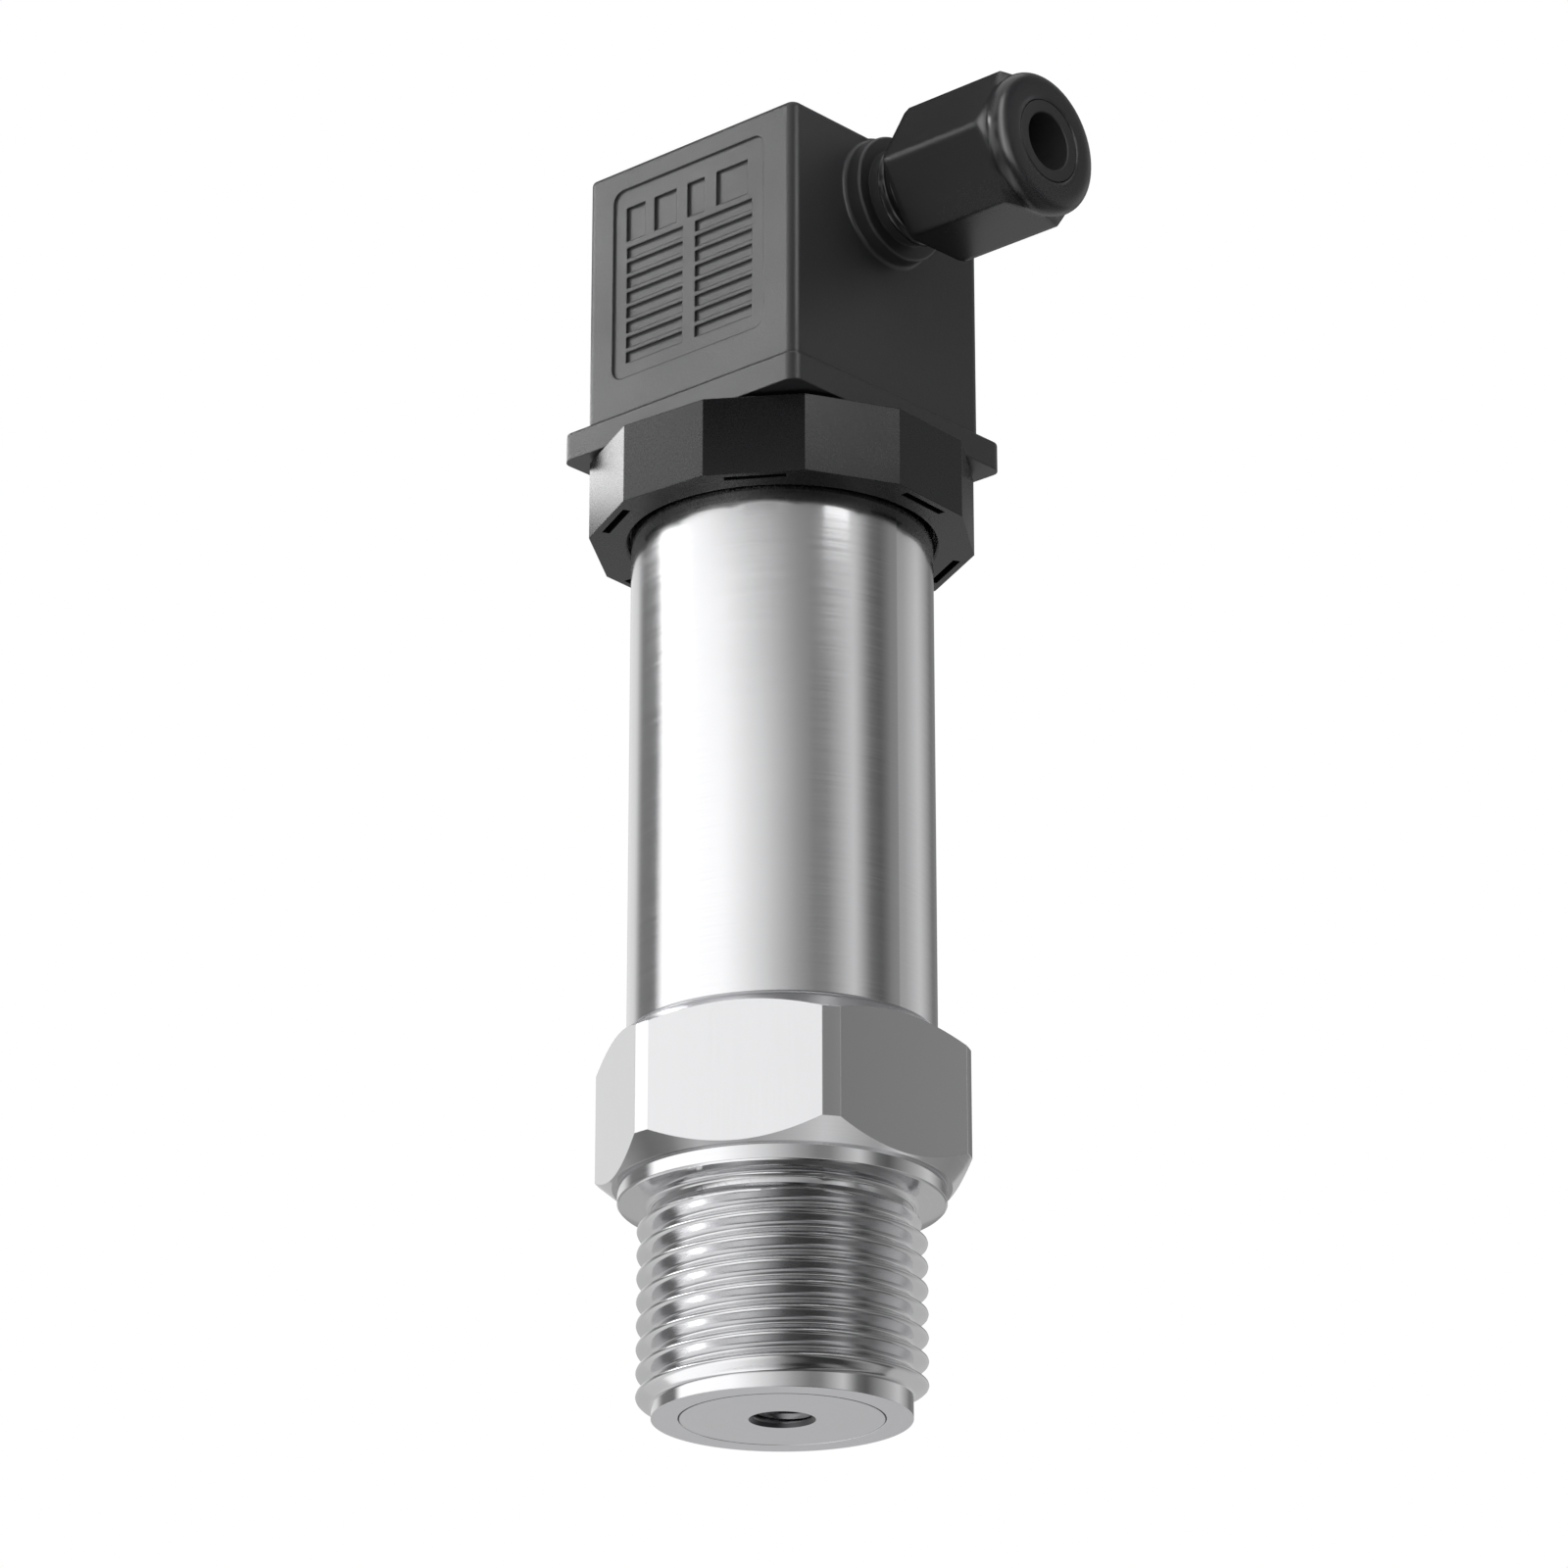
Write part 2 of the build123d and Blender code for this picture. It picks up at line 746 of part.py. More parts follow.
# Union nut: mouth round the tube, thread, chamber for the shoulder of the base and top lip
nut_mouth_radius = tube_radius + nut_mouth_gap
nut_thread_radius = tube_thread_radius + nut_thread_clearance
nut_thread_bottom = tube_thread_bottom + nut_thread_relief
nut_chamber_radius = base_shoulder_radius + nut_chamber_gap
nut_chamber_bottom = tube_top + nut_chamber_drop
nut_lip_radius = base_neck_radius + nut_lip_clearance
with BuildPart() as union_nut:
    with BuildSketch(Plane.XY.offset(nut_bottom)):
        RegularPolygon(nut_corner_radius, nut_sides, rotation=nut_turn)
    extrude(amount=nut_top - nut_bottom)
    with BuildSketch(Plane.XZ):
        with BuildLine():
            Polyline(
                (0, nut_bottom),
                (nut_mouth_radius + nut_mouth_chamfer, nut_bottom),
                (nut_mouth_radius, nut_bottom + nut_mouth_chamfer),
                (nut_mouth_radius, nut_thread_bottom),
                (nut_thread_radius, nut_thread_bottom),
                (nut_thread_radius, nut_chamber_bottom),
                (nut_chamber_radius, nut_chamber_bottom),
                (nut_chamber_radius, nut_lip_bottom),
                (nut_lip_radius, nut_lip_bottom),
                (nut_lip_radius, nut_top),
                (0, nut_top),
                close=True,
            )
        make_face()
    revolve(axis=Axis.Z, mode=Mode.SUBTRACT)
    with BuildSketch(Plane.XY.offset(nut_bottom)):
        with PolarLocations(slot_circle_radius, nut_sides // 2, start_angle=slot_turn):
            Rectangle(slot_width, slot_length)
    extrude(amount=slot_depth, mode=Mode.SUBTRACT)
union_nut.part.label = "union_nut"
export_step(union_nut.part, "parts/union_nut.step")


# Flat gasket in the mouth of the plug, round the contact block
gasket_outside = cavity_size - 2 * gasket_edge_gap
gasket_inside = block_size + 2 * gasket_block_gap
with BuildPart() as flat_gasket:
    with BuildSketch(Plane.XY.offset(plug_bottom)):
        with Locations((plug_x, plug_y)):
            RectangleRounded(gasket_outside, gasket_outside, cavity_corner)
            RectangleRounded(gasket_inside, gasket_inside, block_corner, mode=Mode.SUBTRACT)
    extrude(amount=gasket_thickness)
flat_gasket.part.label = "flat_gasket"
export_step(flat_gasket.part, "parts/flat_gasket.step")


# Plug housing: rounded box with a boss and a threaded neck for the gland
gland_axis = Axis((0, plug_y, gland_z), (1, 0, 0))
boss_end = face_x + boss_length
with BuildPart() as plug_housing:
    with BuildSketch(Plane.XY.offset(plug_bottom)):
        with Locations((plug_x, plug_y)):
            Rectangle(plug_size, plug_size)
    extrude(amount=plug_height)
    fillet(plug_housing.edges().filter_by(Axis.Z), plug_corner)
    fillet(plug_housing.faces().sort_by(Axis.Z)[-1].edges(), plug_edge)

    with BuildSketch(Plane.XZ.offset(-plug_y)):
        with BuildLine():
            RadiusArc(
                (face_x, gland_z + boss_radius + boss_fillet),
                (face_x + boss_fillet, gland_z + boss_radius),
                -boss_fillet,
            )
            Polyline(
                (face_x + boss_fillet, gland_z + boss_radius),
                (boss_end - boss_edge, gland_z + boss_radius),
                (boss_end, gland_z + boss_radius - boss_edge),
                (boss_end, gland_z + groove_radius),
                (groove_end, gland_z + groove_radius),
                (groove_end, gland_z + neck_radius),
                (neck_end, gland_z + neck_radius),
                (neck_end, gland_z),
                (face_x - plug_wall, gland_z),
                (face_x - plug_wall, gland_z + neck_radius),
                (face_x, gland_z + neck_radius),
                (face_x, gland_z + boss_radius + boss_fillet),
            )
        make_face()
    revolve(axis=gland_axis)

    # Room for the terminals, open below
    with BuildSketch(Plane.XY.offset(plug_bottom)):
        with Locations((plug_x, plug_y)):
            RectangleRounded(cavity_size, cavity_size, cavity_corner)
    extrude(amount=cavity_top - plug_bottom, mode=Mode.SUBTRACT)

    # Seat for the cable seal and the narrower way into the box
    with BuildSketch(Plane.YZ.offset(face_x - plug_wall)):
        with Locations((plug_y, gland_z)):
            Circle(wire_hole_radius)
    extrude(amount=plug_wall + seal_seat, mode=Mode.SUBTRACT)
    with BuildSketch(Plane.YZ.offset(face_x + seal_seat)):
        with Locations((plug_y, gland_z)):
            Circle(neck_bore_radius)
    extrude(amount=neck_end - face_x - seal_seat, mode=Mode.SUBTRACT)

    # Recess and hole for the fixing screw
    with BuildSketch(Plane.XY.offset(recess_floor)):
        with Locations((plug_x, plug_y)):
            Circle(recess_radius)
    extrude(amount=screw_recess_depth, mode=Mode.SUBTRACT)
    with BuildSketch(Plane.XY.offset(cavity_top)):
        with Locations((plug_x, plug_y)):
            Circle(screw_hole_radius)
    extrude(amount=plug_wall, mode=Mode.SUBTRACT)

    # Recessed panel, then its bars and the plain blocks above them
    with BuildSketch(Plane.XZ.offset(-face_y)):
        with Locations((panel_x, panel_bottom + panel_height / 2)):
            RectangleRounded(panel_width, panel_height, panel_corner)
    extrude(amount=-panel_depth, mode=Mode.SUBTRACT)
    with BuildSketch(Plane.XZ.offset(-face_y - panel_depth)):
        for row in range(bar_rows):
            bar_z = bars_bottom + bar_height / 2 + row * bar_pitch
            with Locations(
                (panel_x - (bar_length + bar_gap) / 2, bar_z),
                (panel_x + (bar_length + bar_gap) / 2, bar_z),
            ):
                Rectangle(bar_length, bar_height)
        for shift, wide in block_row:
            with Locations((panel_x + shift, bars_top + block_row_gap + block_row_height / 2)):
                Rectangle(wide, block_row_height)
    extrude(amount=-bar_depth, mode=Mode.SUBTRACT)
plug_housing.part.label = "plug_housing"
export_step(plug_housing.part, "parts/plug_housing.step")


# Terminal insert with four chambers open below and a way through for the screw
insert_size = cavity_size - 2 * insert_gap
partition_middle = partition_hub + partition_reach / 2
with BuildPart() as terminal_insert:
    with BuildSketch(Plane.XY.offset(insert_bottom)):
        with Locations((plug_x, plug_y)):
            RectangleRounded(insert_size, insert_size, insert_corner)
            Circle(screw_hole_radius, mode=Mode.SUBTRACT)
            with PolarLocations(blade_circle_radius, 4):
                Rectangle(
                    socket_depth + 2 * chamber_play,
                    socket_width + 2 * chamber_play,
                    mode=Mode.SUBTRACT,
                )
    extrude(amount=insert_top - insert_bottom)

    # Walls that keep the four terminals apart
    with BuildSketch(Plane.XY.offset(insert_top)):
        with Locations((plug_x, plug_y)):
            with PolarLocations(partition_middle, 4, start_angle=45):
                Rectangle(partition_reach - partition_hub, partition_wall)
    extrude(amount=clamp_rise)
terminal_insert.part.label = "terminal_insert"
export_step(terminal_insert.part, "parts/terminal_insert.step")


# Socket contacts: sleeves over the blades, each with a tapped clamping block on top
with BuildPart() as socket_contacts:
    for k in range(4):
        a = radians(90 * k)
        spot = Plane(
            origin=(plug_x + blade_circle_radius * cos(a), plug_y + blade_circle_radius * sin(a), 0),
            x_dir=(cos(a), sin(a), 0),
            z_dir=(0, 0, 1),
        )
        with BuildSketch(spot.offset(socket_bottom)):
            Rectangle(socket_depth, socket_width)
            Rectangle(socket_opening, blade_width + 2 * socket_play, mode=Mode.SUBTRACT)
        extrude(amount=earth_blade_top + socket_lift - socket_bottom)
        with BuildSketch(spot.offset(earth_blade_top + socket_lift)):
            Rectangle(socket_depth, socket_width)
        extrude(amount=socket_top - earth_blade_top - socket_lift)
        with BuildSketch(spot.offset(socket_top)):
            Rectangle(socket_depth, clamp_width)
        extrude(amount=clamp_top - socket_top)
        with BuildSketch(spot.offset(clamp_top - clamp_hole_depth)):
            Circle(clamp_hole_radius)
        extrude(amount=clamp_hole_depth, mode=Mode.SUBTRACT)
socket_contacts.part.label = "socket_contacts"
export_step(socket_contacts.part, "parts/socket_contacts.step")


# Terminal screws with slotted heads, standing a wire's width above the blocks
head_bottom = clamp_top + terminal_gap
with BuildPart() as terminal_screws:
    for k in range(4):
        a = radians(90 * k)
        spot = Plane(
            origin=(plug_x + blade_circle_radius * cos(a), plug_y + blade_circle_radius * sin(a), 0)
        )
        with BuildSketch(spot.offset(clamp_top - clamp_hole_depth + terminal_clearance)):
            Circle(clamp_hole_radius - terminal_clearance)
        extrude(amount=clamp_hole_depth - terminal_clearance + terminal_gap)
        with BuildSketch(spot.offset(head_bottom)):
            Circle(terminal_head_radius)
        extrude(amount=terminal_head_height)
        with BuildSketch(spot.offset(head_bottom + terminal_head_height)):
            Rectangle(3 * terminal_head_radius, terminal_slot_width)
        extrude(amount=-terminal_head_height / 2, mode=Mode.SUBTRACT)
terminal_screws.part.label = "terminal_screws"
export_step(terminal_screws.part, "parts/terminal_screws.step")


# Rubber seal for the cable, stepped where it passes the washer
with BuildPart() as gland_seal:
    with BuildSketch(Plane.XZ.offset(-plug_y)):
        with BuildLine():
            Polyline(
                (face_x + seal_seat, gland_z + cable_radius),
                (face_x + seal_seat, gland_z + neck_bore_radius - seal_fit),
                (neck_end, gland_z + neck_bore_radius - seal_fit),
                (neck_end + seal_step, gland_z + seal_nose_radius),
                (gland_end, gland_z + seal_nose_radius),
                (gland_end, gland_z + cable_radius + seal_step),
                (gland_end - seal_step, gland_z + cable_radius),
                close=True,
            )
        make_face()
    revolve(axis=gland_axis)
gland_seal.part.label = "gland_seal"
export_step(gland_seal.part, "parts/gland_seal.step")


# Thin washer between the neck and the shoulder inside the nut
with BuildPart() as gland_washer:
    with BuildSketch(Plane.YZ.offset(neck_end + washer_gap)):
        with Locations((plug_y, gland_z)):
            Circle(neck_radius - washer_rim_gap)
            Circle(seal_nose_radius + seal_fit, mode=Mode.SUBTRACT)
    extrude(amount=washer_thickness)
gland_washer.part.label = "gland_washer"
export_step(gland_washer.part, "parts/gland_washer.step")


# Gland nut: six flats run out in a cone, then a rounded nose with a flat end
nose_start = gland_cone_end - gland_nose_overlap
with BuildPart() as gland_nut:
    with BuildSketch(Plane.XZ.offset(-plug_y)):
        with BuildLine():
            Polyline(
                (gland_back, gland_z),
                (gland_back, gland_z + gland_nut_corner - gland_nut_edge),
                (gland_back + gland_nut_edge, gland_z + gland_nut_corner),
                (gland_cone_start, gland_z + gland_nut_corner),
                (gland_cone_end, gland_z + gland_crease_radius),
                (gland_cone_end, gland_z),
                close=True,
            )
        make_face()
    revolve(axis=gland_axis)
    with BuildSketch(Plane.YZ.offset(gland_back)):
        with Locations((plug_y, gland_z)):
            RegularPolygon(gland_nut_flats / 2, 6, major_radius=False, rotation=gland_nut_turn)
    extrude(amount=gland_cone_end - gland_back, mode=Mode.INTERSECT)
    with BuildSketch(Plane.XZ.offset(-plug_y)):
        with BuildLine():
            Line((nose_start, gland_z), (nose_start, gland_z + gland_crease_radius))
            Spline(
                (nose_start, gland_z + gland_crease_radius),
                ((gland_cone_end + gland_end) / 2 - gland_crest_back, gland_z + gland_nose_radius),
                (gland_end, gland_z + gland_end_radius),
                tangents=[(1, 1), (0, -1)],
            )
            Line((gland_end, gland_z + gland_end_radius), (gland_end, gland_z))
            Line((gland_end, gland_z), (nose_start, gland_z))
        make_face()
    revolve(axis=gland_axis)

    # Thread bore, shoulder over the washer and opening round the seal
    with BuildSketch(Plane.XZ.offset(-plug_y)):
        with BuildLine():
            Polyline(
                (gland_back, gland_z),
                (gland_back, gland_z + gland_thread_radius),
                (neck_end + gland_shoulder_rise, gland_z + gland_thread_radius),
                (neck_end + 2 * gland_shoulder_rise, gland_z + seal_nose_radius + seal_nut_clearance),
                (gland_end, gland_z + seal_nose_radius + seal_nut_clearance),
                (gland_end, gland_z),
                close=True,
            )
        make_face()
    revolve(axis=gland_axis, mode=Mode.SUBTRACT)
gland_nut.part.label = "gland_nut"
export_step(gland_nut.part, "parts/gland_nut.step")


# Sealing ring in the recess on top of the plug
with BuildPart() as screw_seal:
    with BuildSketch(Plane.XY.offset(recess_floor)):
        with Locations((plug_x, plug_y)):
            Circle(recess_radius - screw_play)
            Circle(screw_hole_radius, mode=Mode.SUBTRACT)
    extrude(amount=screw_seal_thickness)
screw_seal.part.label = "screw_seal"
export_step(screw_seal.part, "parts/screw_seal.step")


# Fixing screw with a slotted cheese head
head_top = screw_head_bottom + screw_head_height
with BuildPart() as fixing_screw:
    with BuildSketch(Plane.XY.offset(screw_bottom)):
        with Locations((plug_x, plug_y)):
            Circle(screw_radius)
    extrude(amount=screw_head_bottom - screw_bottom)
    chamfer(fixing_screw.edges().sort_by(Axis.Z)[0], screw_tip)
    with BuildSketch(Plane.XY.offset(screw_head_bottom)):
        with Locations((plug_x, plug_y)):
            Circle(screw_head_radius)
    extrude(amount=screw_head_height)
    fillet(fixing_screw.edges().sort_by(Axis.Z)[-1], screw_head_edge)
    with BuildSketch(Plane.XY.offset(head_top)):
        with Locations((plug_x, plug_y)):
            Rectangle(3 * screw_head_radius, screw_slot_width)
    extrude(amount=-screw_slot_depth, mode=Mode.SUBTRACT)
fixing_screw.part.label = "fixing_screw"
export_step(fixing_screw.part, "parts/fixing_screw.step")
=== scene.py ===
import json
import math

import bmesh
import bpy
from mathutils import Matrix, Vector


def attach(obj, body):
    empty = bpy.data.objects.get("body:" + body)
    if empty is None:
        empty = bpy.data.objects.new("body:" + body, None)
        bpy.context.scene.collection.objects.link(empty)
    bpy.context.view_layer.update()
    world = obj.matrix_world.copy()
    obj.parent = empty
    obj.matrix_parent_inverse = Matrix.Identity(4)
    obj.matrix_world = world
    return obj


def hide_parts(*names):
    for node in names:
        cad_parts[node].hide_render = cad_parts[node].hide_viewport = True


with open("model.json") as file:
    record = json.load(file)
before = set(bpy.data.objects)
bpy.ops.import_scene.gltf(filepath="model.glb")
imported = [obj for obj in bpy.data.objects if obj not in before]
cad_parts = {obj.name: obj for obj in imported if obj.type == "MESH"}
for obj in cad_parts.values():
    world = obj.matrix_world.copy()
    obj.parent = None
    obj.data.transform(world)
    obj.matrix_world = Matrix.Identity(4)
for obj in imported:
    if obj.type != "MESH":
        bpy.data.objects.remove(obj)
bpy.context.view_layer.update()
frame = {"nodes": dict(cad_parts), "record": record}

MM = 0.001
STEEL_EDGE = 0.08 * MM
nodes = frame["nodes"]
mounts = {mount["name"]: mount for mount in frame["record"]["mounts"]}
materials = {}


# Node materials

def start_material(name, color, roughness, metallic=0.0, specular=0.5):
    """A new node material: its node tree, its surface shader and the object's own coordinates."""
    material = bpy.data.materials.new(name)
    material.use_nodes = True
    tree = material.node_tree
    surface = tree.nodes["Principled BSDF"]
    surface.inputs["Base Color"].default_value = (*color, 1)
    surface.inputs["Roughness"].default_value = roughness
    surface.inputs["Metallic"].default_value = metallic
    surface.inputs["Specular IOR Level"].default_value = specular
    place = tree.nodes.new("ShaderNodeTexCoord").outputs["Object"]
    materials[name] = material
    return tree, surface, place


def math_node(tree, operation, first, second=0.0):
    """A Math node; each operand is a socket or a number."""
    node = tree.nodes.new("ShaderNodeMath")
    node.operation = operation
    for socket, value in zip(node.inputs, (first, second)):
        if isinstance(value, bpy.types.NodeSocket):
            tree.links.new(value, socket)
        else:
            socket.default_value = value
    return node.outputs[0]


def noise(tree, vector, scale, detail=2.0, roughness=0.5):
    """Noise round 0.5 at so many features a metre."""
    node = tree.nodes.new("ShaderNodeTexNoise")
    node.inputs["Scale"].default_value = scale
    node.inputs["Detail"].default_value = detail
    node.inputs["Roughness"].default_value = roughness
    tree.links.new(vector, node.inputs["Vector"])
    return node.outputs["Fac"]


def between(tree, share, low, high, from_low=0.3, from_high=0.7):
    """Maps a noise value to a range."""
    node = tree.nodes.new("ShaderNodeMapRange")
    for socket, value in zip(node.inputs[1:5], (from_low, from_high, low, high)):
        socket.default_value = value
    tree.links.new(share, node.inputs[0])
    return node.outputs[0]


def tint(tree, share, first, second):
    """Mixes two colours by a share."""
    node = tree.nodes.new("ShaderNodeMix")
    node.data_type = "RGBA"
    node.inputs[6].default_value = (*first, 1)
    node.inputs[7].default_value = (*second, 1)
    tree.links.new(share, node.inputs[0])
    return node.outputs[2]


def relief(tree, surface, height, depth, edge=0.0):
    """Bumps the surface by a height map of so many metres, over edges softened to a radius."""
    bump = tree.nodes.new("ShaderNodeBump")
    bump.inputs["Distance"].default_value = depth
    tree.links.new(height, bump.inputs["Height"])
    if edge:
        soft = tree.nodes.new("ShaderNodeBevel")
        soft.samples = 4
        soft.inputs["Radius"].default_value = edge
        tree.links.new(soft.outputs["Normal"], bump.inputs["Normal"])
    tree.links.new(bump.outputs["Normal"], surface.inputs["Normal"])


def axis_distance(tree, place):
    """The three coordinates and the distance from the Z axis."""
    split = tree.nodes.new("ShaderNodeSeparateXYZ")
    tree.links.new(place, split.inputs[0])
    x, y, z = split.outputs
    square_x = math_node(tree, "MULTIPLY", x, x)
    square_y = math_node(tree, "MULTIPLY", y, y)
    outward = math_node(tree, "SQRT", math_node(tree, "ADD", square_x, square_y))
    return x, y, z, outward


def turned_place(tree, place, along, round_):
    """Coordinates whose lines run round the Z axis: fine along it and outwards, coarse round it."""
    x, y, z, outward = axis_distance(tree, place)
    join = tree.nodes.new("ShaderNodeCombineXYZ")
    across = math_node(tree, "MULTIPLY", math_node(tree, "ADD", outward, z), along)
    for value, socket in zip((x, y), join.inputs):
        tree.links.new(math_node(tree, "MULTIPLY", value, round_), socket)
    tree.links.new(across, join.inputs[2])
    return join.outputs[0]


def turned_steel(name, color, roughness, line_depth, lines=5200, streak=160, wear=0.02, anisotropic=0.0):
    """Steel with marks that run round the Z axis."""
    cloud_scale = 90
    tree, surface, place = start_material(name, color, roughness, metallic=1.0)
    marks = noise(tree, turned_place(tree, place, lines, streak), 1.0, detail=3.0, roughness=0.6)
    cloud = noise(tree, place, cloud_scale, detail=3.0)
    darker = tuple(c * (1 - 2 * wear) for c in color)
    lighter = tuple(min(1.0, c * (1 + 2 * wear)) for c in color)
    tree.links.new(tint(tree, marks, darker, lighter), surface.inputs["Base Color"])
    fine = between(tree, marks, -wear, wear)
    broad = between(tree, cloud, -wear / 2, wear / 2)
    uneven = math_node(tree, "ADD", fine, broad)
    tree.links.new(math_node(tree, "ADD", uneven, roughness), surface.inputs["Roughness"])
    relief(tree, surface, marks, line_depth, edge=STEEL_EDGE)
    if anisotropic:
        surface.inputs["Anisotropic"].default_value = anisotropic
        surface.inputs["Anisotropic Rotation"].default_value = 0.25
        tangent = tree.nodes.new("ShaderNodeTangent")
        tangent.direction_type = "RADIAL"
        tangent.axis = "Z"
        tree.links.new(tangent.outputs[0], surface.inputs["Tangent"])
    return materials[name]


def paint_disc_shade(name, hole, rim):
    """Darkens a disc's material in its hole and along its seam: painted shade in the hole and a painted
    shadow along the seam.
    """
    hole_edge = 0.04 * MM
    seam_width = 0.05 * MM
    # Colour of the painted shade in the hole and the painted shadow along the seam
    painted_shade = (0.07, 0.07, 0.075)
    tree = materials[name].node_tree
    place = tree.nodes["Texture Coordinate"].outputs["Object"]
    outward = axis_distance(tree, place)[3]
    past_hole = between(tree, outward, 0.0, 1.0, hole - hole_edge, hole)
    within_rim = between(tree, outward, 1.0, 0.0, rim - seam_width, rim)
    # Share free of painted shade: between the hole and the seam
    unshaded = math_node(tree, "MULTIPLY", past_hole, within_rim)
    surface = tree.nodes["Principled BSDF"].inputs["Base Color"]
    steel = surface.links[0].from_socket
    node = tree.nodes.new("ShaderNodeMix")
    node.data_type = "RGBA"
    node.inputs[6].default_value = (*painted_shade, 1)
    tree.links.new(steel, node.inputs[7])
    tree.links.new(unshaded, node.inputs[0])
    tree.links.new(node.outputs[2], surface)


def milled_steel(name, color, roughness):
    """Steel with faint straight marks along the Z axis, as milled or drawn."""
    mark_scale = 4200
    mark_stretch = 0.03
    mark_depth = 0.0003 * MM
    cloud_scale = 110
    wear = 0.02
    tree, surface, place = start_material(name, color, roughness, metallic=1.0)
    stretch = tree.nodes.new("ShaderNodeMapping")
    stretch.inputs["Scale"].default_value = (1, 1, mark_stretch)
    tree.links.new(place, stretch.inputs[0])
    marks = noise(tree, stretch.outputs[0], mark_scale, detail=3.0, roughness=0.6)
    cloud = noise(tree, place, cloud_scale, detail=3.0)
    darker = tuple(c * 0.97 for c in color)
    tree.links.new(tint(tree, cloud, darker, color), surface.inputs["Base Color"])
    tree.links.new(between(tree, marks, roughness - wear, roughness + wear), surface.inputs["Roughness"])
    relief(tree, surface, marks, mark_depth, edge=STEEL_EDGE)
    return materials[name]


def moulded_plastic(name, color, roughness, grain, specular=0.5, scale=5500, edge=0.12 * MM):
    """Moulded plastic with a fine spark-eroded grain and slight handling marks."""
    cloud_scale = 70
    tree, surface, place = start_material(name, color, roughness, specular=specular)
    speckle = noise(tree, place, scale, detail=2.0, roughness=0.6)
    cloud = noise(tree, place, cloud_scale, detail=4.0)
    lighter = tuple(c * 1.25 for c in color)
    tree.links.new(tint(tree, cloud, color, lighter), surface.inputs["Base Color"])
    handled = between(tree, cloud, -0.03, 0.04)
    grained = between(tree, speckle, -0.03, 0.03)
    uneven = math_node(tree, "ADD", handled, grained)
    tree.links.new(math_node(tree, "ADD", uneven, roughness), surface.inputs["Roughness"])
    relief(tree, surface, speckle, grain, edge=edge)
    return materials[name]


def plain_metal(name, color, roughness, scratch=2400, depth=0.0008 * MM):
    """Small stamped or turned metal parts with faint scratches."""
    edge = 0.06 * MM
    wear = 0.07
    tree, surface, place = start_material(name, color, roughness, metallic=1.0)
    marks = noise(tree, place, scratch, detail=4.0, roughness=0.7)
    dull = tuple(c * 0.8 for c in color)
    tree.links.new(tint(tree, between(tree, marks, 0.0, 1.0), dull, color), surface.inputs["Base Color"])
    tree.links.new(between(tree, marks, roughness - wear, roughness + wear), surface.inputs["Roughness"])
    relief(tree, surface, marks, depth, edge=edge)
    return materials[name]


def board_lacquer(name, color, trace_color):
    """Board lacquer over copper traces drawn by a brick pattern, whose trace width is at its own scale."""
    gloss = 0.3
    pattern_scale = 260
    trace_width = 0.06
    trace_height = 0.03 * MM
    tree, surface, place = start_material(name, color, gloss)
    turn = tree.nodes.new("ShaderNodeMapping")
    turn.inputs["Rotation"].default_value = (math.pi / 2, 0, 0)
    tree.links.new(place, turn.inputs[0])
    lines = tree.nodes.new("ShaderNodeTexBrick")
    lines.inputs["Scale"].default_value = pattern_scale
    lines.inputs["Mortar Size"].default_value = trace_width
    lines.inputs["Color1"].default_value = (0, 0, 0, 1)
    lines.inputs["Color2"].default_value = (0, 0, 0, 1)
    lines.inputs["Mortar"].default_value = (1, 1, 1, 1)
    tree.links.new(turn.outputs[0], lines.inputs["Vector"])
    tree.links.new(tint(tree, lines.outputs["Color"], color, trace_color), surface.inputs["Base Color"])
    relief(tree, surface, lines.outputs["Color"], trace_height)
    return materials[name]


def dress(material, *names):
    """Gives CAD nodes a material."""
    for name in names:
        slots = nodes[name].data.materials
        slots.clear()
        slots.append(material)


stainless = (0.66, 0.66, 0.67)
pale_stainless = (0.74, 0.74, 0.76)
port_mouth = 2.78 * MM
disc_rim = 8.42 * MM
turned_steel("machined_steel", stainless, 0.13, 0.0002 * MM, lines=3800, streak=60)
turned_steel("brushed_tube", stainless, 0.16, 0.0004 * MM, streak=90, wear=0.03, anisotropic=0.35)
turned_steel("face_steel", pale_stainless, 0.34, 0.002 * MM, streak=90)
# Steel for the thread inside the port, darkened to a painted shade of the same stainless
turned_steel("bore_steel_painted_shade", (0.2, 0.2, 0.21), 0.25, 0.0005 * MM)
# The disc's steel, with painted shade in its hole and a painted shadow along its seam
turned_steel("disc_steel_painted_shade", pale_stainless, 0.34, 0.002 * MM, streak=90)
paint_disc_shade("disc_steel_painted_shade", port_mouth, disc_rim)
milled_steel("flat_steel", stainless, 0.17)
moulded_plastic("housing_black", (0.022, 0.022, 0.024), 0.42, 0.012 * MM, specular=0.7, edge=0.2 * MM)
moulded_plastic("nut_black", (0.005, 0.005, 0.006), 0.26, 0.0003 * MM, specular=0.34)
moulded_plastic("gland_black", (0.008, 0.008, 0.009), 0.24, 0.0006 * MM, specular=0.6, edge=0.7 * MM)
moulded_plastic("neck_black", (0.008, 0.008, 0.009), 0.24, 0.0006 * MM, specular=0.6, edge=0.1 * MM)
moulded_plastic("seal_rubber", (0.012, 0.012, 0.012), 0.55, 0.01 * MM, specular=0.4, scale=3500)
moulded_plastic("carrier_grey", (0.3, 0.3, 0.31), 0.45, 0.008 * MM)
moulded_plastic("component_black", (0.02, 0.02, 0.021), 0.5, 0.01 * MM)
moulded_plastic("lead_red", (0.45, 0.03, 0.02), 0.35, 0.003 * MM)
plain_metal("plated_steel", (0.62, 0.62, 0.63), 0.26)
plain_metal("brass", (0.75, 0.56, 0.27), 0.26)
board_lacquer("board_green", (0.01, 0.1, 0.04), (0.03, 0.2, 0.08))

